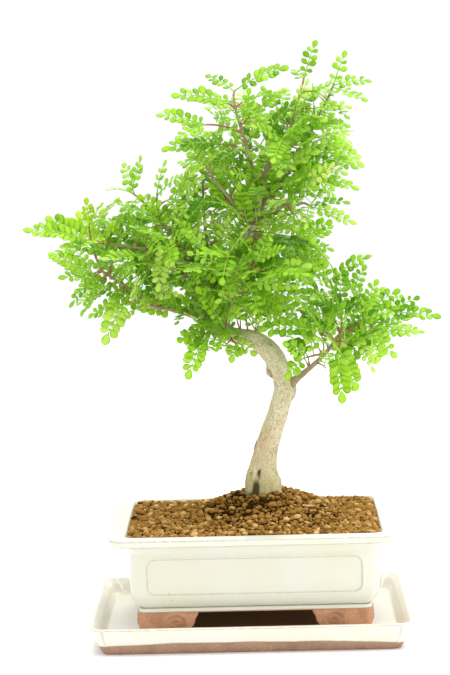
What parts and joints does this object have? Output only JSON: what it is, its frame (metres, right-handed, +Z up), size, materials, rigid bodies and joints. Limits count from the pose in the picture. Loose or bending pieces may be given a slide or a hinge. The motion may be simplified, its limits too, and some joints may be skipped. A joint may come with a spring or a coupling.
{
  "type": "bonsai tree in a pot",
  "caption": "Bonsai tree with a curved trunk and small pinnate leaves, in a rectangular footed pot of granular soil, on a matching drip tray.",
  "frame": {"origin": "middle of the drip tray's flat underside", "axes": "+Z up the tree, +X along the tray's long side, the pot's viewed front faces -Y"},
  "size_m": [0.3065, 0.1884, 0.4406],
  "materials": {
    "pot_glaze": "gloss",
    "tray_glaze": "gloss",
    "soil": "matte",
    "screen": "matte",
    "bark": "matte",
    "branch_bark": "matte",
    "leaf": "satin",
    "young_leaf": "satin"
  },
  "bodies": {
    "root": {"branch_centre": "branch_bark", "branch_centre_rise": "branch_bark", "branch_front": "branch_bark", "branch_left_lower": "branch_bark", "branch_left_mid": "branch_bark", "branch_left_upper": "branch_bark", "branch_mid_right": "branch_bark", "branch_rear": "branch_bark", "branch_rear_left": "branch_bark", "branch_right_lower": "branch_bark", "branch_upper_left": "branch_bark", "branch_upper_right": "branch_bark", "centre_low_spray": "leaf", "centre_tip_spray": "leaf", "centre_top_spray": "leaf", "crown_centre_spray": "leaf", "crown_far_left_spray": "leaf", "crown_front_spray": "leaf", "crown_left_arch_spray": "leaf", "crown_left_low_spray": "leaf", "crown_left_spray": "leaf", "crown_mid_spray": "leaf", "crown_rear_spray": "leaf", "crown_right_droop_spray": "leaf", "crown_right_low_spray": "leaf", "crown_right_side_spray": "leaf", "crown_right_spray": "leaf", "drain_screen_left": "screen", "drain_screen_right": "screen", "drip_tray": "tray_glaze", "front_spray": "leaf", "leader_left": "branch_bark", "leader_mid": "branch_bark", "leader_right": "branch_bark", "left_back_spray": "leaf", "left_crest_spray": "leaf", "left_front_spray": "leaf", "left_hanging_spray": "leaf", "left_low_spray": "leaf", "left_rear_spray": "leaf", "left_tip_spray": "leaf", "left_upright_spray": "leaf", "left_young_spray": "young_leaf", "mid_right_spray": "leaf", "pot": "pot_glaze", "rear_spray": "leaf", "right_drop_spray": "leaf", "right_front_spray": "leaf", "right_hanging_spray": "leaf", "right_inner_spray": "leaf", "right_reach_spray": "leaf", "right_rear_spray": "leaf", "right_second_spray": "leaf", "right_tall_spray": "leaf", "soil": "soil", "trunk": "bark", "trunk_hanging_spray": "leaf", "trunk_under_spray": "leaf", "upper_left_spray": "leaf", "upper_right_spray": "leaf"}
  },
  "joints": []
}
